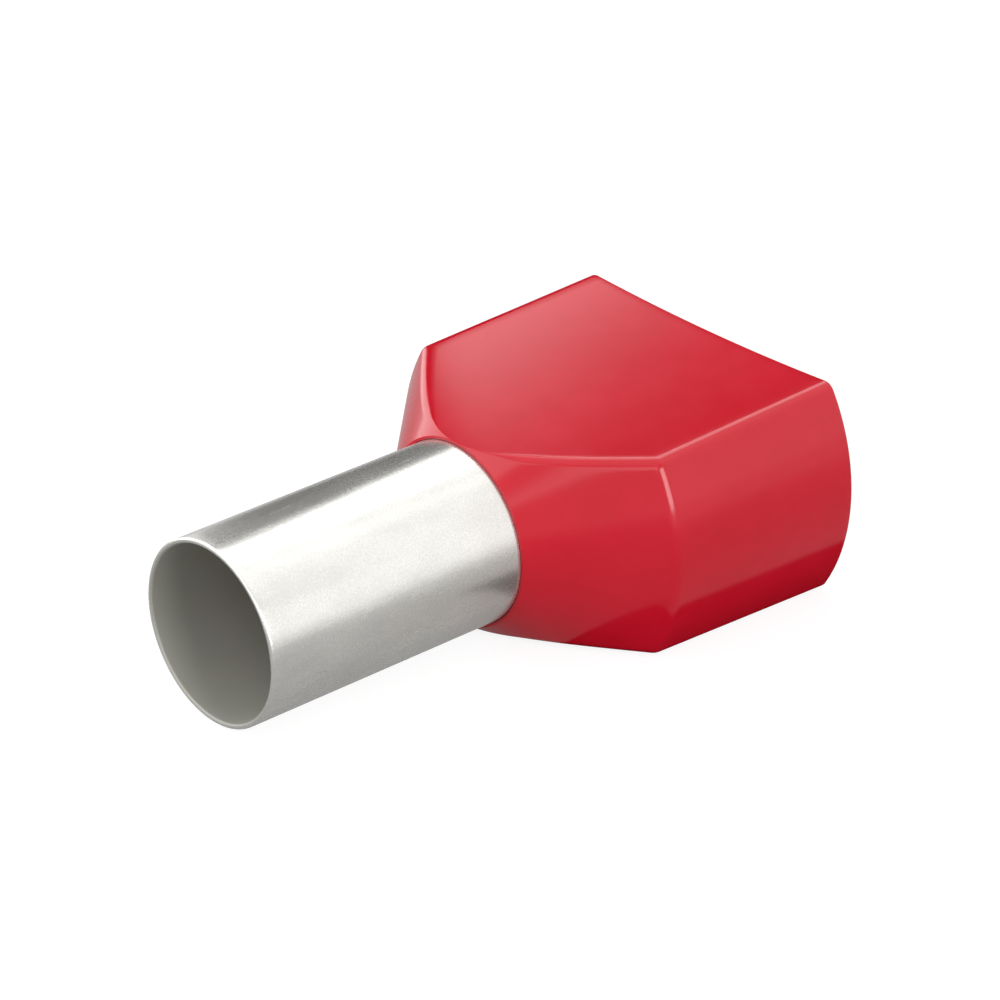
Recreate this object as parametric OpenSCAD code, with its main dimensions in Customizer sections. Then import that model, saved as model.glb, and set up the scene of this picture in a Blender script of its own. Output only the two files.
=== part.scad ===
// Twin wire ferrule for two 10 mm2 stranded wires: a thin tin-plated copper
// sleeve pushed into a one-piece moulded collar.
//
// Frame: +Y runs along the ferrule, from the sleeve's tip (-Y) to the wire
// mouth (+Y). +X is across the two wires, side by side. +Z is up.
// The origin is on the sleeve's axis, in the plane of the collar's front lip.

/* [Wires] */
// Diameter over the insulation of the thickest wire that fits
wire_d = 6.6; // [4:0.1:9]
// Room left over the two wires, across the mouth
mouth_play_w = 0.85; // [0.2:0.05:2]
// Room left over one wire, through the height of the mouth
mouth_play_h = 0.4; // [0.2:0.05:2]

/* [Sleeve] */
// Bore of the sleeve, which holds the bare strands
sleeve_bore_d = 6.5; // [4:0.1:8]
// Thickness of the sleeve's wall
sleeve_wall = 0.2; // [0.1:0.01:0.4]
// Length of sleeve that shows in front of the collar
sleeve_reach = 11.1; // [6:0.1:18]
// How far the seated end of the sleeve is belled out, on the radius
bell_out = 0.08; // [0.02:0.01:0.1]
// Depth of the broken inner edge at the sleeve's hidden end
sleeve_edge = 0.08; // [0.02:0.01:0.09]

/* [Collar outside] */
// Length of the collar, from its front lip to the wire mouth
collar_len = 12.4; // [9:0.1:18]
// Length of the cone between the front lip and the shoulder
cone_len = 3.9; // [3:0.1:5]
// Draft of the barrel behind the shoulder, in degrees on each side
barrel_draft = 1.3; // [0:0.1:3]
// Rounding of the shoulder, where the cone meets the barrel
shoulder_round = 0.35; // [0.1:0.05:0.8]
// Rounding of the four long edges, where both faces meet the barrel
edge_round = 0.3; // [0.1:0.05:0.6]
// Rounding of the outer edge around the wire mouth
rim_round = 0.1; // [0.05:0.01:0.2]
// Radius of the shallow hollow along the upper and lower face
waist_r = 107; // [60:1:300]

/* [Collar walls] */
// Wall of the barrel and of both faces at the mouth
wall = 0.5; // [0.3:0.05:0.7]
// Plastic around the sleeve at the front lip
lip_wall = 0.13; // [0.1:0.01:0.5]
// Plastic over the sleeve at the front of the upper and lower face
face_skin = 0.11; // [0.06:0.01:0.4]
// Depth of plastic behind the shoulder, to where the funnel ends
shoulder_wall = 1.1; // [0.6:0.1:2]

/* [Collar inside] */
// Depth to which the sleeve sits in the collar
seat_depth = 2.2; // [1.5:0.1:2.9]
// Gap between the sleeve and its seat, on the radius
seat_gap = 0.02; // [0:0.01:0.05]
// Room between the round throat and the inner faces, at the seat
throat_play = 0.05; // [0.02:0.01:0.2]
// Depth of the lead-in around the mouth
lead_len = 0.6; // [0.2:0.1:1.5]
// How far the lead-in widens the mouth on each side
lead_out = 0.18; // [0.05:0.01:0.25]

/* [Hidden] */
// Facets for round parts, for the sleeve's tip and for the long hollows
round_fn = 160;
tip_fn = 48;
waist_fn = 720;
// Flats that make up each small rounding on the collar
round_steps = 5;
// How far cutting shapes run past what they cut
past = 1;

sleeve_bore_r = sleeve_bore_d / 2;
sleeve_r = sleeve_bore_r + sleeve_wall;
seat_r = sleeve_r + seat_gap;
lip_r = seat_r + lip_wall;
throat_r = sleeve_bore_r + bell_out;

// Inside of the mouth, half of each way, and the outside around it
mouth_in_r = wire_d + mouth_play_w / 2;
mouth_in_h = (wire_d + mouth_play_h) / 2;
mouth_r = mouth_in_r + wall;
mouth_h = mouth_in_h + wall;

// The barrel narrows from the mouth to the shoulder by its draft
draft_slope = tan(barrel_draft);
shoulder_r = mouth_r - draft_slope * (collar_len - cone_len);
funnel_end = cone_len + shoulder_wall;
funnel_end_r = mouth_in_r - draft_slope * (collar_len - funnel_end);

// Half height of both faces at the front, outside and at the seat, inside
front_h = seat_r + face_skin;
throat_h = throat_r + throat_play;

// Half height at which the rounding of the rim starts on both faces
rim_h = mouth_h - rim_round * (mouth_h - front_h) / collar_len;

// Slopes of the faces, in degrees, outside, at the rim and inside
face_tilt = atan((mouth_h - front_h) / collar_len);
rim_tilt = 45;
core_tilt = atan((mouth_in_h - throat_h) / (collar_len - seat_depth));
lead_tilt = atan(lead_out / lead_len);

// Turns a shape that stands on +Z so that it runs along +Y.
module along_y() {
    rotate([-90, 0, 0])
        children();
}

// The sleeve: a thin tube, straight and with a fully rounded tip in front of
// the collar, and slightly belled inside it so that it can't pull out. The
// inner edge of the belled end is broken so that no strand catches on it.
module sleeve() {
    color("silver")
        along_y()
            rotate_extrude($fn = round_fn)
                sleeve_profile();
}

// Half section of the sleeve: x is the radius and y runs along the axis.
module sleeve_profile() {
    tip = -sleeve_reach + sleeve_wall / 2;
    polygon([
        [sleeve_bore_r, tip],
        [sleeve_r, tip],
        [sleeve_r, 0],
        [sleeve_r + bell_out, seat_depth],
        [throat_r + sleeve_edge, seat_depth],
        [throat_r - bell_out * sleeve_edge / seat_depth, seat_depth - sleeve_edge],
        [sleeve_bore_r, 0]
    ]);
    translate([sleeve_bore_r + sleeve_wall / 2, tip])
        circle(r = sleeve_wall / 2, $fn = tip_fn);
}

// The collar: a turned form with two shallow hollowed faces cut on it, and
// a hollow inside that leads both wires from the mouth to the sleeve.
module collar() {
    color([0.80, 0.13, 0.19])
        difference() {
            collar_outside();
            seat();
            core();
            lead_in();
        }
}

// Outer form: lip, cone, rounded shoulder and drafted barrel, between faces
// that rise towards the mouth and are hollowed along their length.
module collar_outside() {
    difference() {
        along_y()
            rotate_extrude($fn = round_fn)
                collar_profile();
        both_faces(0, front_h, face_tilt, waist_r);
        both_faces(collar_len - rim_round, rim_h, -rim_tilt, waist_r);
        long_edges();
    }
}

// Half section of the collar's turned form, with the shoulder rounded and
// the outer edge of the rim broken.
module collar_profile() {
    cone_angle = atan((shoulder_r - lip_r) / cone_len);
    polygon(concat(
        [[0, 0], [lip_r, 0]],
        rounded([shoulder_r, cone_len], 90 - cone_angle, 90 - barrel_draft, shoulder_round),
        [
            [mouth_r - draft_slope * rim_round, collar_len - rim_round],
            [mouth_r - rim_round, collar_len],
            [0, collar_len]
        ]
    ));
}

// Points of a rounding where a straight line that runs at the angle from
// turns left into one at the angle to, both in degrees.
function rounded(corner, from, to, r) =
    let (
        back = r * tan((to - from) / 2),
        mid = corner - back * [cos(from), sin(from)] + r * [-sin(from), cos(from)]
    )
    [
        for (i = [0 : round_steps])
            let (a = from + (to - from) * i / round_steps)
            mid + r * [sin(a), -cos(a)]
    ];

// The same points with the first and last flat twice as long, so that they
// cross the surfaces they run into.
function run_on(points) =
    let (last = len(points) - 1)
    concat(
        [2 * points[0] - points[1]],
        [for (i = [1 : last - 1]) points[i]],
        [2 * points[last] - points[last - 1]]
    );

// Cuts away what lies above the upper face and below the lower face. At
// start_y each face is half_h from the axis in its middle, it rises by tilt
// degrees towards the mouth, and it is hollowed across by the radius bend_r.
module both_faces(start_y, half_h, tilt, bend_r) {
    for (side = [0, 1])
        mirror([0, 0, side])
            translate([0, start_y, half_h])
                rotate([tilt, 0, 0])
                    translate([0, -collar_len, 0])
                        along_y()
                            linear_extrude(height = 2 * collar_len)
                                face_section(bend_r);
}

// Section of what a face cut takes away: a block wider than the collar whose
// inner side is an arc. It lies on -y, which along_y() turns up.
module face_section(bend_r) {
    half_w = mouth_r + past;
    intersection() {
        translate([0, -bend_r])
            circle(r = bend_r, $fn = waist_fn);
        translate([-half_w, -2 * mouth_r])
            square([2 * half_w, 2 * mouth_r + past]);
    }
}

// Where a face of half height h, hollowed by waist_r, meets a barrel of
// radius r, as [x, z] in the collar's cross section.
function face_corner(r, h) =
    let (z = ((h + waist_r) ^ 2 + r ^ 2 - waist_r ^ 2) / (2 * (h + waist_r)))
    [sqrt(r ^ 2 - z ^ 2), z];

// Rounds the four long edges, from the shoulder to the mouth.
module long_edges() {
    for (side_x = [0, 1], side_z = [0, 1])
        mirror([side_x, 0, 0])
            mirror([0, 0, side_z])
                long_edge();
}

// What rounding one long edge takes away: a thin bar along the edge, with
// the rounding on its inner side. Its section is drawn with x out and y up.
module long_edge() {
    shoulder_h = front_h + (mouth_h - front_h) * cone_len / collar_len;
    near = face_corner(shoulder_r, shoulder_h);
    far = face_corner(mouth_r, mouth_h);
    run = [far.x - near.x, collar_len - cone_len, far.y - near.y];
    up = atan(run.z / run.y);
    out = atan(run.x / run.y);
    face_angle = asin(far.x / waist_r);
    side_angle = atan(far.y / far.x);
    translate([near.x, cone_len, near.y])
        rotate([up, 0, -out])
            translate([0, -past, 0])
                along_y()
                    linear_extrude(height = norm(run) + 2 * past)
                        mirror([0, 1])
                            polygon(concat(
                                run_on(rounded([0, 0], 90 + side_angle, 180 + face_angle, edge_round)),
                                [[2 * edge_round, 2 * edge_round]]
                            ));
}

// Seat for the sleeve, belled as the sleeve is. Its end is the step that
// the sleeve stops on.
module seat() {
    along_y()
        rotate_extrude($fn = round_fn)
            polygon([
                [0, -past],
                [seat_r, -past],
                [seat_r, 0],
                [seat_r + bell_out, seat_depth],
                [0, seat_depth]
            ]);
}

// Hollow behind the seat: a funnel that opens from the sleeve's belled end,
// then a chamber with the barrel's draft, both between faces of their own.
module core() {
    difference() {
        along_y()
            rotate_extrude($fn = round_fn)
                polygon([
                    [0, seat_depth - past],
                    [throat_r, seat_depth - past],
                    [throat_r, seat_depth],
                    [funnel_end_r, funnel_end],
                    [mouth_in_r + draft_slope * past, collar_len + past],
                    [0, collar_len + past]
                ]);
        both_faces(seat_depth, throat_h, core_tilt, waist_r + wall);
    }
}

// Lead-in that widens the mouth over its last stretch. The cut begins inside
// the chamber, where it is the narrower of the two, and so leaves no step.
module lead_in() {
    start = collar_len - lead_len;
    start_r = mouth_in_r - draft_slope * lead_len;
    start_h = mouth_in_h - tan(core_tilt) * lead_len;
    widen = draft_slope + lead_out / lead_len;
    difference() {
        along_y()
            rotate_extrude($fn = round_fn)
                polygon([
                    [0, start - past],
                    [start_r - widen * past, start - past],
                    [start_r + widen * (lead_len + past), collar_len + past],
                    [0, collar_len + past]
                ]);
        both_faces(start, start_h, core_tilt + lead_tilt, waist_r + wall);
    }
}

sleeve();
collar();
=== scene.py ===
"""Looks of a twin wire ferrule: a tin-plated sleeve in a red moulded collar.

Everything is in metres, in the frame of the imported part: +Y runs along the
ferrule from the sleeve's tip to the wire mouth, +X is across the two wires
and +Z is up. The origin is on the sleeve's axis at the collar's front lip.
"""

import logging
import math
from collections.abc import Sequence
from dataclasses import dataclass, field, fields
from enum import Enum
from typing import Any, Union

import bpy
import numpy as np
from mathutils import Matrix, Vector


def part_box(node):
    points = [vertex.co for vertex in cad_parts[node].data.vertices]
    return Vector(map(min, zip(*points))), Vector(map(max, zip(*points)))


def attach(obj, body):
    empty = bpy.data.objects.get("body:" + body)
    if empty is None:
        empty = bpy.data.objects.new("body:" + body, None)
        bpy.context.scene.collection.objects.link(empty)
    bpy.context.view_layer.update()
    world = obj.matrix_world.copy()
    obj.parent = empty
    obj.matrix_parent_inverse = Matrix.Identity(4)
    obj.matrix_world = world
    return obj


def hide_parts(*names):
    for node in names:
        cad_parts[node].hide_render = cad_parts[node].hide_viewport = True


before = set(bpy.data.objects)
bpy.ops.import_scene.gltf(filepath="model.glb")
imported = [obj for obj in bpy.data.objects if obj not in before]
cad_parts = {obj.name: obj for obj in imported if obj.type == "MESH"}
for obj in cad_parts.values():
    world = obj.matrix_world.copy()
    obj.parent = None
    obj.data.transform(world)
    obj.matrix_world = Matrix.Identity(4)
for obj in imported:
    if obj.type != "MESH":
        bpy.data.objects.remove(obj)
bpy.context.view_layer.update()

MM = 0.001
BODY = "root"
# Radii of the sleeve, and how far its hidden end and its seat are belled
BORE_R = 3.25 * MM
SLEEVE_R = 3.45 * MM
BELL = 0.08 * MM
LOG = logging.getLogger("ferrule")

Colour = tuple[float, float, float]
Place = tuple[float, float, float]
Spot = tuple[float, float]
Value = Union[float, "Wire"]


class Slot(Enum):
    """Material slots of the record."""

    TIN = "tin_plate"
    PLASTIC = "red_plastic"


# --------------------------------------------------------------- node trees


@dataclass(frozen=True)
class Wire:
    """A number on an output socket, which takes part in Python expressions.

    Each operator adds one Math node to the tree that the socket is in.
    """

    graph: "Graph"
    socket: bpy.types.NodeSocket

    def __add__(self, other: Value) -> "Wire":
        """Sum with another value."""
        return self.graph.math("ADD", self, other)

    def __radd__(self, other: Value) -> "Wire":
        """Sum with a value on the left."""
        return self.graph.math("ADD", other, self)

    def __sub__(self, other: Value) -> "Wire":
        """Difference from another value."""
        return self.graph.math("SUBTRACT", self, other)

    def __rsub__(self, other: Value) -> "Wire":
        """Difference of a value on the left and this one."""
        return self.graph.math("SUBTRACT", other, self)

    def __mul__(self, other: Value) -> "Wire":
        """Product with another value."""
        return self.graph.math("MULTIPLY", self, other)

    def __rmul__(self, other: Value) -> "Wire":
        """Product with a value on the left."""
        return self.graph.math("MULTIPLY", other, self)

    def __truediv__(self, other: Value) -> "Wire":
        """Quotient by another value."""
        return self.graph.math("DIVIDE", self, other)

    def __rtruediv__(self, other: Value) -> "Wire":
        """Quotient of a value on the left by this one."""
        return self.graph.math("DIVIDE", other, self)

    def __neg__(self) -> "Wire":
        """This value with its sign changed."""
        return self.graph.math("MULTIPLY", self, -1.0)

    def sqrt(self) -> "Wire":
        """Square root, with anything below zero taken as zero."""
        return self.graph.math("SQRT", self.graph.math("MAXIMUM", self, 0.0))

    def sin(self) -> "Wire":
        """Sine of an angle in radians."""
        return self.graph.math("SINE", self)

    def cos(self) -> "Wire":
        """Cosine of an angle in radians."""
        return self.graph.math("COSINE", self)

    def clamp(self) -> "Wire":
        """This value kept between 0 and 1."""
        return self.graph.math("MINIMUM", self.graph.math("MAXIMUM", self, 0.0), 1.0)

    def ramp(self, low: float, high: float) -> "Wire":
        """Smooth step of this value.

        Args:
            low: where the result is 0.
            high: where the result is 1. It may lie below low.

        Returns:
            A value from 0 to 1.
        """
        share = ((self - low) / (high - low)).clamp()
        return share * share * (3.0 - 2.0 * share)


class Graph:
    """A node tree under construction."""

    def __init__(self, tree: bpy.types.NodeTree) -> None:
        """Start with a tree that has no nodes.

        Args:
            tree: the tree to fill. Nodes that it already has are removed.
        """
        self.tree = tree
        tree.nodes.clear()

    def node(
        self,
        kind: str,
        settings: dict[str, Any] | None = None,
        sockets: dict[str | int, Any] | None = None,
    ) -> bpy.types.Node:
        """Make one node of any type.

        Args:
            kind: the node's type.
            settings: its properties, set first.
            sockets: values or links of its input sockets, by name or number.

        Returns:
            The new node.
        """
        node = self.tree.nodes.new(kind)
        for name, value in (settings or {}).items():
            setattr(node, name, value)
        for key, value in (sockets or {}).items():
            target = node.inputs[key]
            if isinstance(value, Wire):
                self.tree.links.new(value.socket, target)
            elif isinstance(value, bpy.types.NodeSocket):
                self.tree.links.new(value, target)
            else:
                target.default_value = value
        return node

    def wire(self, node: bpy.types.Node, output: str | int = 0) -> Wire:
        """Wrap one output of a node, by name or number, as a number."""
        return Wire(self, node.outputs[output])

    def math(self, operation: str, *terms: Value) -> Wire:
        """Add one Math node.

        Args:
            operation: the node's operation.
            terms: its values or links, in order.

        Returns:
            The result.
        """
        node = self.node(
            "ShaderNodeMath", {"operation": operation}, dict(enumerate(terms))
        )
        return self.wire(node)

    def vector(self, operation: str, *terms: Any) -> bpy.types.NodeSocket:
        """Add one Vector Math node.

        Args:
            operation: the node's operation.
            terms: its vectors or links, in order.

        Returns:
            The output socket.
        """
        node = self.node(
            "ShaderNodeVectorMath", {"operation": operation}, dict(enumerate(terms))
        )
        return node.outputs[0]

    def mix(self, share: Value, first: Any, second: Any) -> bpy.types.NodeSocket:
        """Mix two colours.

        Args:
            share: how much of the second colour shows, from 0 to 1.
            first: a colour or a link.
            second: a colour or a link.

        Returns:
            The mixed colour's socket.
        """
        colours = [(*c, 1.0) if isinstance(c, tuple) else c for c in (first, second)]
        node = self.node(
            "ShaderNodeMix",
            {"data_type": "RGBA"},
            {0: share, 6: colours[0], 7: colours[1]},
        )
        return node.outputs[2]


# ------------------------------------------------------------------ finishes


@dataclass(frozen=True)
class Marks:
    """A layer of noise on a finish.

    Size is that of its lumps in metres, stretch tells how many times longer
    they are along x, y and z, detail is the number of finer layers and
    roughness how strong those are.
    """

    size: float
    stretch: Place = (1.0, 1.0, 1.0)
    detail: float = 2.0
    roughness: float = 0.5

    def spread(self, graph: Graph, place: bpy.types.NodeSocket) -> Wire:
        """Lay the noise over a surface.

        Args:
            graph: the material's tree.
            place: the coordinates.

        Returns:
            A value around 0.5.
        """
        scale = tuple(1.0 / (self.size * s) for s in self.stretch)
        sockets = {
            "Vector": graph.vector("MULTIPLY", place, scale),
            "Scale": 1.0,
            "Detail": self.detail,
            "Roughness": self.roughness,
        }
        return graph.wire(graph.node("ShaderNodeTexNoise", None, sockets), "Fac")


class Finish:
    """A procedural material on Object coordinates."""

    name: str

    def material(self) -> bpy.types.Material:
        """Make the material.

        Returns:
            A material with the finish's own surface.
        """
        material = bpy.data.materials.new(self.name)
        material.use_nodes = True
        graph = Graph(material.node_tree)
        place = graph.node("ShaderNodeTexCoord").outputs["Object"]
        surface = self.surface(graph, place)
        graph.node("ShaderNodeOutputMaterial", None, {"Surface": surface})
        return material

    def surface(
        self, graph: Graph, place: bpy.types.NodeSocket
    ) -> bpy.types.NodeSocket:
        """Build the shader; each finish has its own way."""
        raise NotImplementedError

    @staticmethod
    def bump(graph: Graph, height: Wire, depth: float) -> bpy.types.NodeSocket:
        """Turn a height into a normal.

        Args:
            graph: the material's tree.
            height: the height, from about 0 to 1.
            depth: what a height of 1 is in metres.

        Returns:
            The normal's socket.
        """
        sockets = {"Strength": 1.0, "Distance": depth, "Height": height}
        return graph.node("ShaderNodeBump", None, sockets).outputs[0]

    @staticmethod
    def matt(
        graph: Graph, share: Value, tones: tuple[float, float]
    ) -> bpy.types.NodeSocket:
        """A matt grey surface.

        Args:
            graph: the material's tree.
            share: how much of the second grey shows, from 0 to 1.
            tones: the two greys.

        Returns:
            The shader's socket.
        """
        first, second = ((tone,) * 3 for tone in tones)
        colour = graph.mix(share, first, second)
        return graph.node("ShaderNodeBsdfDiffuse", None, {"Color": colour}).outputs[0]


@dataclass(frozen=True)
class MouldedPlastic(Finish):
    """Smooth, slightly satin polypropylene, straight from the mould.

    Smoothest is the roughness before its marks add to it.
    """

    name: str = "moulded_plastic"
    colour: Colour = (0.65, 0.007, 0.024)
    deep: Colour = (0.61, 0.005, 0.019)
    refraction: float = 1.49
    gloss: float = 0.42
    smoothest: float = 0.135
    tone_from: float = 0.35
    tone_to: float = 0.65
    flow: Marks = Marks(4.0 * MM, (1.0, 2.5, 1.0), 3.0)
    haze: Marks = Marks(1.1 * MM, detail=3.0)
    texture: Marks = Marks(0.09 * MM, detail=3.0, roughness=0.6)
    texture_depth: float = 0.0004 * MM

    def surface(
        self, graph: Graph, place: bpy.types.NodeSocket
    ) -> bpy.types.NodeSocket:
        """Colour with faint flow marks, and a fine mould texture.

        Args:
            graph: the material's tree.
            place: Object coordinates.

        Returns:
            The shader's socket.
        """
        flow, haze, texture = (
            marks.spread(graph, place) for marks in (self.flow, self.haze, self.texture)
        )
        tone = (flow * 0.7 + haze * 0.3).ramp(self.tone_from, self.tone_to)
        sockets = {
            "Base Color": graph.mix(tone, self.deep, self.colour),
            "Roughness": self.smoothest + haze * 0.04 + texture * 0.02,
            "IOR": self.refraction,
            "Specular IOR Level": self.gloss,
            "Normal": self.bump(graph, texture, self.texture_depth),
        }
        return graph.node("ShaderNodeBsdfPrincipled", None, sockets).outputs[0]


@dataclass(frozen=True)
class TinPlate(Finish):
    """Satin tin plating with a fine crystal grain and light handling marks.

    Smoothest is the roughness before its marks add to it. The bore is duller
    and rougher than the outside, and its darker colour is painted shade of the
    recess. It starts where the distance from the sleeve's axis falls below
    bore_radius.
    """

    name: str = "tin_plate"
    bright: Colour = (0.74, 0.733, 0.70)
    dull: Colour = (0.64, 0.63, 0.598)
    # Painted shade: the bore's colour is darker than the plating for the shade inside the
    # tube
    bore: Colour = (0.48, 0.475, 0.425)
    metal: float = 0.78
    bore_dull: float = 0.58
    bore_rough: float = 0.22
    smoothest: float = 0.18
    tone_from: float = 0.36
    tone_to: float = 0.64
    grain: Marks = Marks(0.07 * MM, detail=3.0, roughness=0.65)
    clouds: Marks = Marks(1.6 * MM, (1.0, 2.0, 1.0), 4.0, 0.6)
    draw_lines: Marks = Marks(0.16 * MM, (1.0, 40.0, 1.0))
    scuffs: Marks = Marks(0.5 * MM, (1.0, 5.0, 1.0), 4.0, 0.7)
    scuffs_from: float = 0.56
    scuffs_to: float = 0.70
    relief: float = 0.0011 * MM
    bore_radius: float = (BORE_R + SLEEVE_R) / 2
    bore_blend: float = 0.05 * MM

    def surface(
        self, graph: Graph, place: bpy.types.NodeSocket
    ) -> bpy.types.NodeSocket:
        """Plated colour, grain, draw lines and scuffs.

        Args:
            graph: the material's tree.
            place: Object coordinates.

        Returns:
            The shader's socket.
        """
        axes = graph.node("ShaderNodeSeparateXYZ", None, {0: place})
        x, z = graph.wire(axes, "X"), graph.wire(axes, "Z")
        radius = (x * x + z * z).sqrt()
        inside = radius.ramp(self.bore_radius, self.bore_radius - self.bore_blend)
        grain, clouds, lines, scuffs = (
            marks.spread(graph, place)
            for marks in (self.grain, self.clouds, self.draw_lines, self.scuffs)
        )
        scuffs = scuffs.ramp(self.scuffs_from, self.scuffs_to)
        tone = (grain * 0.55 + clouds * 0.45).ramp(self.tone_from, self.tone_to)
        plated = graph.mix(tone, self.dull, self.bright)
        marked = grain * 0.08 + clouds * 0.05 + lines * 0.03 + scuffs * 0.06
        height = grain + lines * 0.35 + scuffs * 0.4 + clouds * 0.2
        sockets = {
            # Inside the bore the colour turns to the darker bore colour, painted shade of the
            # recess
            "Base Color": graph.mix(inside, plated, self.bore),
            "Roughness": self.smoothest + marked + inside * self.bore_rough,
            "Metallic": self.metal - inside * self.bore_dull,
            "Normal": self.bump(graph, height, self.relief),
        }
        return graph.node("ShaderNodeBsdfPrincipled", None, sockets).outputs[0]


@dataclass(frozen=True)
class DarkFelt(Finish):
    """Matt felt of the cards."""

    name: str = "dark_felt"
    tone: float = 0.02
    fibres: Marks = Marks(3.0 * MM)
    contrast: float = 1.2

    def surface(
        self, graph: Graph, place: bpy.types.NodeSocket
    ) -> bpy.types.NodeSocket:
        """Dark matt grey with faint fibres."""
        fibres = self.fibres.spread(graph, place)
        return self.matt(graph, fibres, (self.tone, self.tone * self.contrast))


@dataclass(frozen=True)
class GlowingPaper(Finish):
    """Matt paper of the floor, near white to the camera but for shadows.

    Glow is its own light towards the camera. Reflections see it at mirrored
    near the ferrule, which is a painted shadow of the ferrule there, and at
    mirrored_far from fade_to on.
    """

    name: str = "floor"
    tone: float = 0.22
    mottle: float = 0.02
    fibres: Marks = Marks(2.0 * MM)
    glow: float = 0.87
    # Painted shadow: how bright reflections see the floor close to the ferrule
    painted_shadow_mirrored: float = 0.27
    mirrored_far: float = 0.85
    fade_from: float = 18 * MM
    fade_to: float = 110 * MM

    def surface(
        self, graph: Graph, place: bpy.types.NodeSocket
    ) -> bpy.types.NodeSocket:
        """Matt paper with its glow added.

        Args:
            graph: the material's tree.
            place: Object coordinates.

        Returns:
            The shader's socket.
        """
        fibres = self.fibres.spread(graph, place)
        matt = self.matt(graph, fibres, (self.tone, self.tone + self.mottle))
        axes = graph.node("ShaderNodeSeparateXYZ", None, {0: place})
        x, y = graph.wire(axes, "X"), graph.wire(axes, "Y")
        # Painted shadow: reflections see the floor dimmer near the ferrule, standing for its
        # shadow there
        away = (x * x + y * y).sqrt().ramp(self.fade_from, self.fade_to)
        painted_shadow_fade = graph.mix(away, (self.painted_shadow_mirrored,) * 3, (self.mirrored_far,) * 3)
        path = graph.node("ShaderNodeLightPath")
        mirror = graph.wire(path, "Is Glossy Ray")
        seen = graph.wire(path, "Is Camera Ray") + graph.wire(path, "Is Transmission Ray")
        sockets = {
            "Color": graph.mix(mirror, (1.0,) * 3, painted_shadow_fade),
            "Strength": seen.clamp() * self.glow + mirror,
        }
        glow = graph.node("ShaderNodeEmission", None, sockets).outputs[0]
        return graph.node("ShaderNodeAddShader", None, {0: matt, 1: glow}).outputs[0]


# -------------------------------------------------------------------- meshes


class Piece:
    """Something shown that rides on the part's one body."""

    name: str
    slot: Slot
    replaced: tuple[str, ...]
    finish: Finish

    def build(self) -> bpy.types.Object:
        """Make the finished object; each piece has its own way."""
        raise NotImplementedError

    def place(self) -> None:
        """Build the piece, tie it to its body and hide the CAD nodes it stands for."""
        shown = self.build()
        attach(shown, BODY)
        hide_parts(*self.replaced)
        faces = len(shown.data.polygons)
        LOG.info("%s: %d faces, stands for %s", self.name, faces, self.replaced)


def grid_faces(rings: int, around: int) -> np.ndarray:
    """Faces of a grid that closes on itself both ways.

    Args:
        rings: number of rings of points.
        around: number of points in each ring.

    Returns:
        One row of four point numbers a face.
    """
    ring, spot = np.meshgrid(np.arange(rings), np.arange(around), indexing="ij")
    next_ring, next_spot = (ring + 1) % rings, (spot + 1) % around
    corners = (
        ring * around + spot,
        ring * around + next_spot,
        next_ring * around + next_spot,
        next_ring * around + spot,
    )
    return np.stack(corners, axis=-1).reshape(-1, 4)


def link_object(name: str, data: bpy.types.ID) -> bpy.types.Object:
    """Make an object and put it in the scene.

    Args:
        name: the object's name.
        data: its mesh, lamp or camera.

    Returns:
        The object.
    """
    shown = bpy.data.objects.new(name, data)
    bpy.context.scene.collection.objects.link(shown)
    return shown


def new_object(name: str, points: np.ndarray, faces: np.ndarray) -> bpy.types.Object:
    """Make a smooth mesh object at the origin.

    Args:
        name: name of the object and its mesh.
        points: one row of x, y and z a point, in metres.
        faces: one row of point numbers a face.

    Returns:
        The object, linked to the scene.
    """
    mesh = bpy.data.meshes.new(name)
    mesh.from_pydata(points.tolist(), [], faces.tolist())
    mesh.shade_smooth()
    return link_object(name, mesh)


def stage_sheet(
    name: str, corners: Sequence[Vector], finish: Finish
) -> bpy.types.Object:
    """Make a flat sheet that belongs to the stage.

    Args:
        name: its name.
        corners: its four corners, in turn.
        finish: its finish.

    Returns:
        Its object.
    """
    points, faces = np.array([tuple(c) for c in corners]), np.array([[0, 1, 2, 3]])
    sheet = new_object(name, points, faces)
    sheet.data.materials.append(finish.material())
    return sheet


def limit(share: float) -> float:
    """A share kept between 0 and 1."""
    return min(max(share, 0.0), 1.0)


@dataclass(frozen=True)
class Mark:
    """A point of a half section.

    Lean is how far its outward normal turns from the radial direction
    towards the front, in radians.
    """

    radius: float
    along: float
    lean: float = 0.0


@dataclass(frozen=True)
class Corner:
    """A corner of a half section, with the run that leads to it.

    Its rounding has a radius and a number of steps. The run has its own
    number, and a crowd over 1 packs them at the run's start.
    """

    spot: Spot
    radius: float
    steps: int
    run_steps: int = 1
    crowd: float = 1.0


def outline(corners: Sequence[Corner]) -> list[list[Mark]]:
    """Marks along a closed half section with rounded corners.

    Args:
        corners: its corners in order, with the solid on the left.

    Returns:
        For each corner, the marks inside the run that leads to it and those
        on its rounding.
    """
    turns = [
        rounding(corners[i - 1].spot, corner, corners[(i + 1) % len(corners)].spot)
        for i, corner in enumerate(corners)
    ]
    marks = []
    for i, (corner, turn) in enumerate(zip(corners, turns)):
        last, first = turns[i - 1][-1], turn[0]
        run = []
        for part in range(1, corner.run_steps):
            share = (part / corner.run_steps) ** corner.crowd
            run.append(
                Mark(
                    last.radius + (first.radius - last.radius) * share,
                    last.along + (first.along - last.along) * share,
                    first.lean,
                )
            )
        marks.append([*run, *turn])
    return marks


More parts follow.
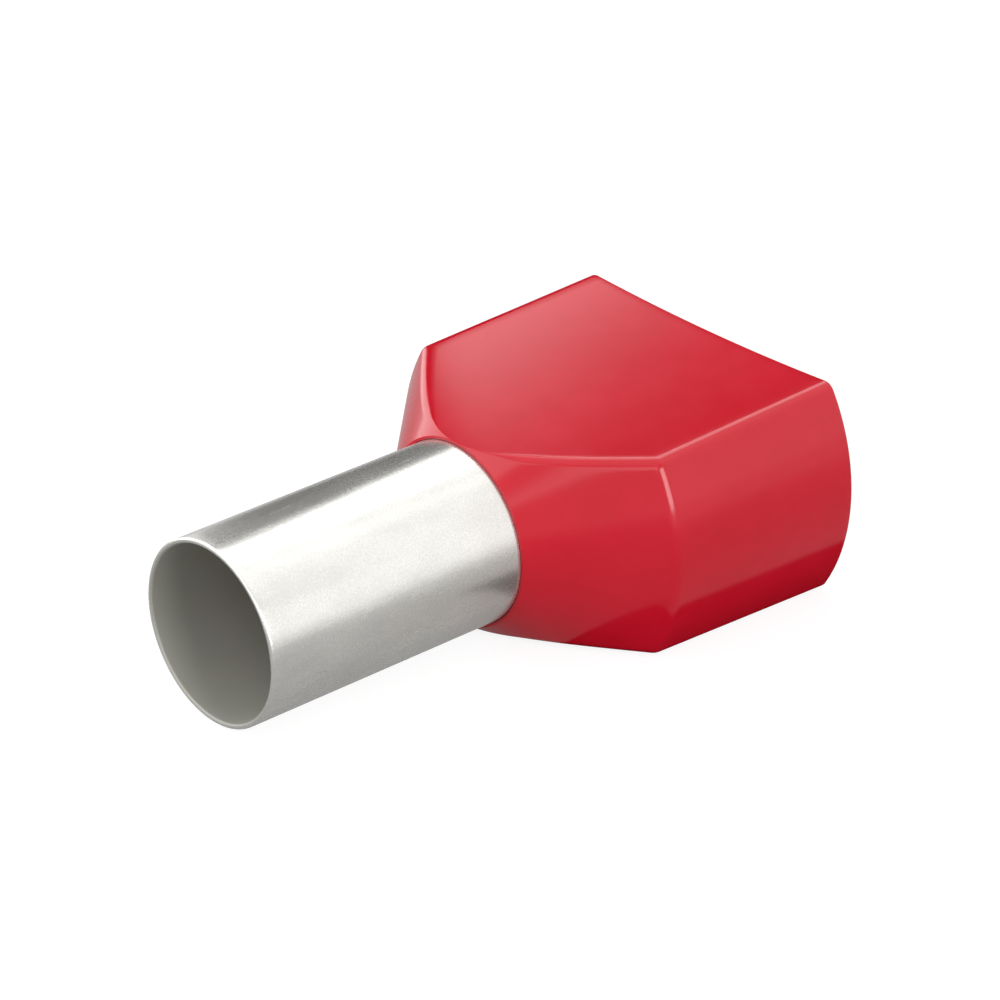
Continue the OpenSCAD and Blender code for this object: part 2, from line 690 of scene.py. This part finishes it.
def rounding(before: Spot, corner: Corner, after: Spot) -> list[Mark]:
    """Round one corner of a half section.

    Args:
        before: radius and place of the corner before.
        corner: the corner.
        after: radius and place of the corner after.

    Returns:
        Marks on the rounding, with its two ends.
    """
    spot = Vector(corner.spot)
    come = (spot - Vector(before)).normalized()
    leave = (Vector(after) - spot).normalized()
    turn = math.atan2(come.x * leave.y - come.y * leave.x, come.dot(leave))
    inward = Vector((-come.y, come.x)) * math.copysign(corner.radius, turn)
    centre = spot - come * corner.radius * math.tan(abs(turn) / 2) + inward
    marks = []
    for i in range(corner.steps + 1):
        swing = Matrix.Rotation(turn * i / corner.steps, 2)
        point, way = centre - swing @ inward, swing @ come
        marks.append(Mark(point.x, point.y, math.atan2(way.x, way.y)))
    return marks


@dataclass
class Sleeve(Piece):
    """The crimp sleeve: a drawn tube with a rounded tip and a belled end.

    The tip's rounding is a share of the wall.
    """

    name: str = "crimp_sleeve"
    slot: Slot = Slot.TIN
    replaced: tuple[str, ...] = ("sleeve",)
    finish: Finish = field(default_factory=TinPlate)
    bore_r: float = BORE_R
    outer_r: float = SLEEVE_R
    bell_bend: float = 1.0 * MM
    edge: float = 0.05 * MM
    tip_round: float = 0.49
    around: int = 288

    def profile(self) -> list[Mark]:
        """Half section of the tube.

        Returns:
            Its marks, from the bore over the tip and the outside to the
            hidden end.
        """
        low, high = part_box("sleeve")
        tip, end = low.y, high.y
        half = (self.outer_r - self.bore_r) * self.tip_round
        corners = [
            Corner((self.bore_r, tip), half, steps=8, run_steps=24),
            Corner((self.outer_r, tip), half, steps=8),
            Corner((self.outer_r, 0.0), self.bell_bend, steps=4, run_steps=24),
            Corner((self.outer_r + BELL, end), self.edge, steps=4, run_steps=4),
            Corner((self.bore_r + BELL, end), self.edge, steps=4),
            Corner((self.bore_r, 0.0), self.bell_bend, steps=4, run_steps=4),
        ]
        return [mark for marks in outline(corners) for mark in marks]

    def build(self) -> bpy.types.Object:
        """Turn the half section into a tube.

        Returns:
            The tube's object.
        """
        profile = np.array([(m.radius, m.along) for m in self.profile()])
        angle = np.arange(self.around) * math.tau / self.around
        radius, along = profile[:, :1], profile[:, 1:]
        x, y, z = np.broadcast_arrays(radius * np.cos(angle), along, radius * np.sin(angle))
        points = np.stack([x, y, z], axis=-1).reshape(-1, 3)
        faces = grid_faces(len(profile), self.around)[:, ::-1]
        shown = new_object(self.name, points, faces)
        shown.data.materials.append(self.finish.material())
        return shown


class Region(Enum):
    """Stretches of the collar's half section, one for each of its corners."""

    LIP = "lip"
    OUTSIDE = "outside"
    RIM = "rim"
    LEAD_IN = "lead-in"
    CHAMBER = "chamber"
    FUNNEL = "funnel"
    THROAT = "throat"
    STEP = "step"
    SEAT = "seat"


@dataclass(frozen=True)
class Station:
    """One ring of the collar's skin.

    The ring is a section of a turned form between two hollowed faces, with
    its four corners rounded. Turned is the form's radius, along its place,
    face the faces' half height at mid width, rise how fast that grows along
    y, lean how far the turned form leans, edge the rounding as a share of
    the collar's and hollow what is added to the faces' radius. Where ring is
    set, it is a full circle of that radius and the section only gives the
    directions of its points.
    """

    turned: float
    along: float
    face: float
    rise: float = 0.0
    lean: float = 0.0
    edge: float = 1.0
    hollow: float = 0.0
    ring: float = 0.0


RING_VALUES = tuple(item.name for item in fields(Station))
POINT_VALUES = ("zone", "sign_x", "sign_z")


@dataclass
class Collar(Piece):
    """The collar: one moulding, from the round lip to the oblong mouth.

    The edges between the turned form and the faces are rounded by edge_r.
    Inner_edge, throat_edge and lip_edge are shares of it, and the lip's
    grows to the whole over fade_len.
    """

    name: str = "moulded_collar"
    slot: Slot = Slot.PLASTIC
    replaced: tuple[str, ...] = ("collar",)
    finish: Finish = field(default_factory=MouldedPlastic)
    lip_r: float = 3.575 * MM
    seat_r: float = SLEEVE_R + 0.02 * MM
    throat_r: float = 3.33 * MM
    front_h: float = 3.58 * MM
    mouth_h: float = 4.00 * MM
    throat_h: float = 3.38 * MM
    cone_len: float = 3.9 * MM
    draft: float = math.radians(1.3)
    wall: float = 0.5 * MM
    seat_depth: float = 2.2 * MM
    funnel_end: float = 5.0 * MM
    lead_len: float = 0.6 * MM
    lead_out: float = 0.18 * MM
    lip_round: float = 0.03 * MM
    shoulder_round: float = 0.6 * MM
    rim_round: float = 0.12 * MM
    lead_round: float = 0.06 * MM
    chamber_round: float = 0.4 * MM
    funnel_round: float = 0.6 * MM
    throat_round: float = 0.05 * MM
    hollow_r: float = 107.0 * MM
    edge_r: float = 0.5 * MM
    inner_edge: float = 0.45
    throat_edge: float = 0.064
    lip_edge: float = 0.08
    fade_len: float = 0.9 * MM
    ring_play: float = 0.003 * MM
    side_steps: int = 26
    edge_steps: int = 10
    face_steps: int = 18

    def __post_init__(self) -> None:
        """Take the length and the mouth's width from the CAD node."""
        _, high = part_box("collar")
        self.length = high.y
        self.mouth_r = high.x
        self.slope = math.tan(self.draft)

    def corners(self) -> dict[Region, Corner]:
        """Corners of the half section.

        Returns:
            The corner that ends each region, with the run that leads to it,
            from the lip over the outside to the mouth and back inside.
        """
        length, small = self.length, self.lip_round
        lead_y = length - self.lead_len
        lead_r = self.barrel_r(lead_y) - self.wall
        mouth_in = self.mouth_r - self.wall + self.lead_out
        funnel_r = self.barrel_r(self.funnel_end) - self.wall
        shoulder = (self.barrel_r(self.cone_len), self.cone_len)
        return {
            Region.LIP: Corner((self.lip_r, 0.0), small, steps=4),
            Region.OUTSIDE: Corner(
                shoulder, self.shoulder_round, steps=8, run_steps=56, crowd=1.7
            ),
            Region.RIM: Corner(
                (self.mouth_r, length), self.rim_round, steps=6, run_steps=34
            ),
            Region.LEAD_IN: Corner((mouth_in, length), self.lead_round, steps=5),
            Region.CHAMBER: Corner(
                (lead_r, lead_y), self.chamber_round, steps=4, run_steps=2
            ),
            Region.FUNNEL: Corner(
                (funnel_r, self.funnel_end), self.funnel_round, steps=6, run_steps=12
            ),
            Region.THROAT: Corner(
                (self.throat_r, self.seat_depth),
                self.throat_round, steps=4, run_steps=34, crowd=0.7,
            ),
            Region.STEP: Corner((self.seat_r + BELL, self.seat_depth), small, steps=3),
            Region.SEAT: Corner((self.seat_r, 0.0), small, steps=4, run_steps=3),
        }

    def barrel_r(self, along: float) -> float:
        """Outer radius of the drafted barrel."""
        return self.mouth_r - self.slope * (self.length - along)

    def face_height(self, along: float) -> float:
        """Half height between both faces, outside, at mid width."""
        return self.front_h + (self.mouth_h - self.front_h) * along / self.length

    def core_height(self, along: float) -> float:
        """Half height between both inner faces at mid width."""
        share = (along - self.seat_depth) / (self.length - self.seat_depth)
        return self.throat_h + (self.mouth_h - self.wall - self.throat_h) * share

    def stations(self) -> list[Station]:
        """Rings of the whole skin, from the lip over the outside and back."""
        corners = self.corners()
        return [
            self.station(mark, region)
            for region, marks in zip(corners, outline(list(corners.values())))
            for mark in marks
        ]

    def station(self, mark: Mark, region: Region) -> Station:
        """Section of the skin at one mark of the half section.

        Args:
            mark: the mark.
            region: the stretch that it is on.

        Returns:
            The section.
        """
        radius, along = mark.radius, mark.along
        barrel = self.barrel_r(along)
        cone = math.atan((self.barrel_r(self.cone_len) - self.lip_r) / self.cone_len)
        if region is Region.LIP:
            guide = self.front_h + self.ring_play
            return Station(
                guide, along, self.front_h, lean=cone, edge=self.lip_edge, ring=radius
            )
        on_barrel = radius > barrel - self.ring_play
        if region is Region.OUTSIDE or (region is Region.RIM and on_barrel):
            share = limit(along / self.fade_len)
            share = share * share * (3.0 - 2.0 * share)
            return Station(
                radius,
                along,
                self.face_height(along),
                rise=(self.mouth_h - self.front_h) / self.length,
                lean=min(max(mark.lean, self.draft), cone),
                edge=self.lip_edge + (1.0 - self.lip_edge) * share,
            )
        if region in (Region.RIM, Region.LEAD_IN, Region.CHAMBER):
            height = radius - (barrel - self.wall - self.core_height(along))
            if region is Region.RIM:
                edge = 1.0 - (barrel - radius) / self.edge_r
                return Station(radius, along, height, edge=edge)
            return Station(
                radius, along, height, edge=self.inner_edge, hollow=self.wall
            )
        if region in (Region.FUNNEL, Region.THROAT):
            height = self.core_height(along)
            if radius > height + self.ring_play:
                funnel_len = self.funnel_end - self.seat_depth
                share = limit((along - self.seat_depth) / funnel_len)
                edge = self.throat_edge + (self.inner_edge - self.throat_edge) * share
                return Station(radius, along, height, edge=edge, hollow=self.wall)
        return Station(
            self.throat_h + self.ring_play,
            along,
            self.throat_h,
            edge=self.throat_edge,
            hollow=self.wall,
            ring=radius,
        )

    def section_points(self) -> np.ndarray:
        """Where each point of a ring lies on its section.

        Returns:
            One row a point: the zone, which runs over the side (0 to 1), the
            rounded corner (1 to 2) and the face (2 to 3), then the signs of
            x and z.
        """
        side = np.linspace(0, 1, self.side_steps + 1)[:-1]
        corner = np.linspace(1, 2, self.edge_steps + 1)[:-1]
        face = np.linspace(2, 3, self.face_steps + 1)
        quarter = np.concatenate([side, corner, face])
        back = quarter[::-1]
        rows = []
        for zones, sign_x, sign_z in (
            (quarter[:-1], 1, 1),
            (back[:-1], -1, 1),
            (quarter[:-1], -1, -1),
            (back[:-1], 1, -1),
        ):
            rows += [(zone, sign_x, sign_z) for zone in zones]
        return np.array(rows, float)

    def build(self) -> bpy.types.Object:
        """Shape the skin with the section tree.

        Returns:
            The collar's object, with a plain mesh.
        """
        stations = self.stations()
        section = self.section_points()
        rings, around = len(stations), len(section)
        base = new_object(
            f"{self.name}_base",
            np.zeros((rings * around, 3)),
            grid_faces(rings, around)[:, ::-1],
        )
        for name in RING_VALUES:
            values = np.repeat([getattr(s, name) for s in stations], around)
            self._store(base, name, values)
        for name, column in zip(POINT_VALUES, section.T):
            self._store(base, name, np.tile(column, rings))
        return SectionShaper().apply(
            base, self.name, self.hollow_r, self.edge_r, self.finish.material()
        )

    @staticmethod
    def _store(base: bpy.types.Object, name: str, values: np.ndarray) -> None:
        """Store one number a point on a mesh."""
        attribute = base.data.attributes.new(name, "FLOAT", "POINT")
        attribute.data.foreach_set("value", values.astype(np.float32))


class SectionShaper:
    """Geometry Nodes that lay each ring of points on its rounded section."""

    INPUTS = ("Hollow Radius", "Edge Radius")
    MERGED_WITHIN = 0.0001 * MM

    def __init__(self) -> None:
        """Build the tree."""
        tree = bpy.data.node_groups.new("section_shaper", "GeometryNodeTree")
        self.tree = tree
        panel = tree.interface
        panel.new_socket("Geometry", in_out="INPUT", socket_type="NodeSocketGeometry")
        for name in self.INPUTS:
            panel.new_socket(name, in_out="INPUT", socket_type="NodeSocketFloat")
        panel.new_socket("Material", in_out="INPUT", socket_type="NodeSocketMaterial")
        panel.new_socket("Geometry", in_out="OUTPUT", socket_type="NodeSocketGeometry")
        self.graph = Graph(tree)
        self._fill()

    def _field(self, name: str) -> Wire:
        """Read a number stored on the points."""
        node = self.graph.node(
            "GeometryNodeInputNamedAttribute", {"data_type": "FLOAT"}, {"Name": name}
        )
        return self.graph.wire(node, "Attribute")

    def _fill(self) -> None:
        """Wire the section's rule and what follows it.

        A ball of the edge radius rolls along each corner, touching the
        turned form and the hollowed face. Its centre gives the arc of the
        corner, the end of the side and the end of the face.
        """
        graph = self.graph
        start = graph.node("NodeGroupInput")
        read = {name: self._field(name) for name in RING_VALUES}
        zone, sign_x, sign_z = (self._field(name) for name in POINT_VALUES)
        hollow = graph.wire(start, "Hollow Radius") + read["hollow"]
        ball = graph.wire(start, "Edge Radius") * read["edge"]
        turned, along = read["turned"], read["along"]
        lean_sin, lean_cos = read["lean"].sin(), read["lean"].cos()

        # Centre of the ball
        ball_r = turned - ball * lean_cos
        ball_y = along + ball * lean_sin
        height = read["face"] + read["rise"] * (ball_y - along)
        axis_h = height + hollow
        reach = hollow + ball
        ball_z = (axis_h * axis_h + ball_r * ball_r - reach * reach) / (2.0 * axis_h)
        ball_x = (ball_r * ball_r - ball_z * ball_z).sqrt()

        # Directions in which it touches the turned form and the face
        side_dir = (lean_cos * ball_x / ball_r, -lean_sin, lean_cos * ball_z / ball_r)
        drop = axis_h - ball_z
        steep = read["rise"] * drop
        length = (ball_x * ball_x + steep * steep + drop * drop).sqrt()
        face_dir = (-(ball_x / length), -(steep / length), drop / length)
        dot = sum(a * b for a, b in zip(side_dir, face_dir))
        turn = graph.math("ARCCOSINE", dot)

        # Shares of the way over the side, the corner and the face
        side, corner, face = (
            (zone - float(start_zone)).clamp() for start_zone in range(3)
        )
        azimuth = graph.math("ARCTAN2", ball_z, ball_x) * side
        side_xyz = (turned * azimuth.cos(), along, turned * azimuth.sin())
        first = ((1.0 - corner) * turn).sin() / turn.sin()
        second = (corner * turn).sin() / turn.sin()
        centre = (ball_x, ball_y, ball_z)
        corner_xyz = tuple(
            c + ball * (first * s + second * f)
            for c, s, f in zip(centre, side_dir, face_dir)
        )
        side_end = tuple(c + ball * s for c, s in zip(centre, side_dir))
        face_end = tuple(c + ball * f for c, f in zip(centre, face_dir))
        face_x = face_end[0] * (1.0 - face)
        sag = hollow - (hollow * hollow - face_x * face_x).sqrt()
        end_sag = hollow - (hollow * hollow - face_end[0] * face_end[0]).sqrt()
        x = side_xyz[0] + corner_xyz[0] - side_end[0] + face_x - face_end[0]
        y = side_xyz[1] + corner_xyz[1] - side_end[1]
        z = side_xyz[2] + corner_xyz[2] - side_end[2] + sag - end_sag

        # Full rings keep the directions of the section beside them
        ring = read["ring"]
        is_ring = graph.math("GREATER_THAN", ring, 0.0)
        distance = (x * x + z * z).sqrt()
        scale = 1.0 + is_ring * (ring / distance - 1.0)
        y = y + is_ring * (along - y)
        self._lay(start, (x * scale * sign_x, y, z * scale * sign_z))

    def _lay(self, start: bpy.types.Node, spot: tuple[Wire, Wire, Wire]) -> None:
        """Lay the points on their section, close it and dress it.

        Args:
            start: the tree's input node.
            spot: where each point goes, along x, y and z.
        """
        graph = self.graph
        place = graph.node("ShaderNodeCombineXYZ", None, dict(enumerate(spot)))
        moved = graph.node(
            "GeometryNodeSetPosition",
            None,
            {"Geometry": start.outputs["Geometry"], "Position": place.outputs[0]},
        )
        merged = graph.node(
            "GeometryNodeMergeByDistance",
            None,
            {"Geometry": moved.outputs[0], "Distance": self.MERGED_WITHIN},
        )
        real = graph.node(
            "GeometryNodeRealizeInstances", None, {"Geometry": merged.outputs[0]}
        )
        dressed = graph.node(
            "GeometryNodeSetMaterial",
            None,
            {"Geometry": real.outputs[0], "Material": start.outputs["Material"]},
        )
        graph.node("NodeGroupOutput", None, {0: dressed.outputs[0]})

    def apply(
        self,
        base: bpy.types.Object,
        name: str,
        hollow_r: float,
        edge_r: float,
        material: bpy.types.Material,
    ) -> bpy.types.Object:
        """Shape a base grid and bake it to a plain mesh.

        Args:
            base: the grid with its stored numbers. It is removed.
            name: name of the new object.
            hollow_r: radius of the hollowed faces.
            edge_r: radius of the rounded corners.
            material: the finish.

        Returns:
            The new object.
        """
        modifier = base.modifiers.new("shape", "NODES")
        modifier.node_group = self.tree
        values = {**dict(zip(self.INPUTS, (hollow_r, edge_r))), "Material": material}
        for item in self.tree.interface.items_tree:
            if item.item_type == "SOCKET" and item.name in values:
                modifier[item.identifier] = values[item.name]
        graph = bpy.context.evaluated_depsgraph_get()
        mesh = bpy.data.meshes.new_from_object(base.evaluated_get(graph))
        base.modifiers.clear()
        bpy.data.objects.remove(base)
        for attribute in (*RING_VALUES, *POINT_VALUES):
            if attribute in mesh.attributes:
                mesh.attributes.remove(mesh.attributes[attribute])
        mesh.name = name
        mesh.shade_smooth()
        return link_object(name, mesh)


# --------------------------------------------------------------------- stage


@dataclass
class Camera:
    """The camera.

    It looks at the origin from an azimuth and an elevation in degrees, and
    is then moved right and up without turning.
    """

    azimuth: float = 48.36
    elevation: float = 27.74
    distance: float = 154.2 * MM
    shift_right: float = 1.570 * MM
    shift_up: float = 1.136 * MM
    lens: float = 156.6
    sensor: float = 36.0
    nearest: float = 0.01
    farthest: float = 20.0

    def axes(self) -> tuple[Vector, Vector, Vector]:
        """Directions of the camera.

        Returns:
            Right, up and back, each one unit long.
        """
        turn, lift = math.radians(self.azimuth), math.radians(self.elevation)
        back = Vector(
            (
                math.sin(turn) * math.cos(lift),
                -math.cos(turn) * math.cos(lift),
                math.sin(lift),
            )
        )
        right = Vector((math.cos(turn), math.sin(turn), 0.0))
        return right, back.cross(right), back

    def place(self) -> None:
        """Make the camera and give it to the scene."""
        right, up, back = self.axes()
        data = bpy.data.cameras.new("camera")
        data.lens = self.lens
        data.sensor_width = self.sensor
        data.clip_start, data.clip_end = self.nearest, self.farthest
        camera = link_object("camera", data)
        spot = back * self.distance + right * self.shift_right + up * self.shift_up
        rotation = Matrix((right, up, back)).transposed().to_4x4()
        camera.matrix_world = Matrix.Translation(spot) @ rotation
        bpy.context.scene.camera = camera
        LOG.info("camera: lens %.1f mm", self.lens)


@dataclass
class Floor:
    """A pale floor that the ferrule rests on with its tip and two corners.

    Tip_low is the height of the sleeve's lowest point at its tip, and gap
    keeps the floor just clear of the ferrule.
    """

    half: float = 1.5
    tip_low: float = -SLEEVE_R
    gap: float = 0.02 * MM
    finish: Finish = field(default_factory=GlowingPaper)

    def place(self) -> None:
        """Make the floor under the lowest points of the shown pieces."""
        sleeve_low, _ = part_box("sleeve")
        collar_low, collar_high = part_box("collar")
        slope = (collar_low.z - self.tip_low) / (collar_high.y - sleeve_low.y)
        normal = Vector((0.0, -slope, 1.0)).normalized()
        start = Vector((0.0, sleeve_low.y, self.tip_low)) - normal * self.gap
        across = Vector((1.0, 0.0, 0.0))
        along = Vector((0.0, 1.0, slope)).normalized()
        corners = [
            start + (across * sign_x + along * sign_y) * self.half
            for sign_x, sign_y in ((-1, -1), (1, -1), (1, 1), (-1, 1))
        ]
        stage_sheet("floor", corners, self.finish)
        LOG.info("floor: slope %.4f", slope)


@dataclass(frozen=True)
class Softbox:
    """A rectangular lamp with an even face, aimed at the origin."""

    name: str
    spot: Place
    width: float
    height: float
    power: float

    def place(self) -> None:
        """Make the lamp and aim it."""
        data = bpy.data.lights.new(self.name, "AREA")
        data.shape = "RECTANGLE"
        data.size, data.size_y = self.width, self.height
        data.energy = self.power
        lamp = link_object(self.name, data)
        spot = Vector(self.spot)
        way = (Vector() - spot).to_track_quat("-Z", "Y")
        lamp.matrix_world = Matrix.Translation(spot) @ way.to_matrix().to_4x4()
        LOG.info("lamp %s: %.2f W", self.name, self.power)


@dataclass(frozen=True)
class Card:
    """A dark flat card that only reflections show, facing its aim."""

    name: str
    spot: Place
    aim: Place
    width: float
    height: float
    finish: Finish = field(default_factory=DarkFelt)
    steep: float = 0.9

    def place(self) -> None:
        """Make the card and face it to its aim.

        Its width runs level, or along x where the card looks steeply up.
        """
        spot = Vector(self.spot)
        look = (Vector(self.aim) - spot).normalized()
        level = Vector((0.0, 0.0, 1.0) if abs(look.z) < self.steep else (0.0, 1.0, 0.0))
        side = look.cross(level).normalized() * self.width / 2
        top = look.cross(side).normalized() * self.height / 2
        corners = (
            spot - side + top, spot + side + top, spot + side - top, spot - side - top
        )
        card = stage_sheet(self.name, corners, self.finish)
        card.visible_camera = False
        card.visible_diffuse = False
        card.visible_shadow = False
        card.visible_transmission = False
        LOG.info("%s: %.0f x %.0f mm", self.name, self.width / MM, self.height / MM)


@dataclass
class Studio:
    """The room: its world, its dark cards and its lamps.

    The camera and reflections see the world white. Ambient is how strongly
    it lights everything else.
    """

    ambient: float = 0.20
    cards: tuple[Card, ...] = (
        Card("card_back", (-0.1151, 0.171, 0.054), (0.0335, 0.0372, 0.054), 0.18, 0.128),
        Card("card_near", (-0.0357, 0.0201, 0.0255), (-0.006, -0.0067, 0.0255), 0.015, 0.057),
        # This card lies flat on the floor under the collar: a painted shadow of the collar
        # that only reflections show
        Card("card_painted_floor_shadow", (0.0, 0.00815, -0.00402), (0.0, 0.01121, 0.096), 0.0170, 0.0129),
    )
    lamps: tuple[Softbox, ...] = (
        Softbox("high_right_back", (-0.03, 0.22, 0.30), 0.20, 0.20, 0.05),
        Softbox("high_right", (0.13, 0.20, 0.27), 0.20, 0.20, 0.055),
        Softbox("overhead", (0.0, 0.0, 0.32), 0.30, 0.30, 0.14),
        Softbox("low_right", (0.30, 0.24, 0.12), 0.24, 0.24, 0.06),
        Softbox("low_left_back", (-0.33, -0.04, 0.12), 0.34, 0.30, 0.61),
        Softbox("high_left", (-0.10, -0.28, 0.26), 0.34, 0.26, 0.48),
        Softbox("high_front", (0.26, -0.26, 0.26), 0.24, 0.20, 0.22),
        Softbox("low_right_front", (0.38, 0.0, 0.12), 0.20, 0.20, 0.84),
        Softbox("low_left_front", (0.05, -0.40, 0.06), 0.20, 0.14, 0.20),
        Softbox("high_back", (-0.2047, 0.1837, 0.291), 0.24, 0.22, 0.335),
    )

    def place(self) -> None:
        """Fill the world and place the cards and the lamps."""
        scene = bpy.context.scene
        scene.view_settings.view_transform = "Standard"
        world = bpy.data.worlds.new("studio")
        world.use_nodes = True
        graph = Graph(world.node_tree)
        path = graph.node("ShaderNodeLightPath")
        seen = graph.wire(path, "Is Camera Ray") + graph.wire(path, "Is Glossy Ray")
        seen = (seen + graph.wire(path, "Is Transmission Ray")).clamp()
        strength = seen * (1.0 - self.ambient) + self.ambient
        background = graph.node(
            "ShaderNodeBackground",
            None,
            {"Color": (1.0, 1.0, 1.0, 1.0), "Strength": strength},
        )
        graph.node("ShaderNodeOutputWorld", None, {"Surface": background.outputs[0]})
        scene.world = world
        for item in (*self.cards, *self.lamps):
            item.place()


def main() -> None:
    """Build the ferrule and its stage."""
    logging.basicConfig(level=logging.INFO, format="%(name)s: %(message)s")
    Camera().place()
    for piece in (Sleeve(), Collar()):
        piece.place()
    Floor().place()
    Studio().place()


if __name__ == "__main__":
    main()
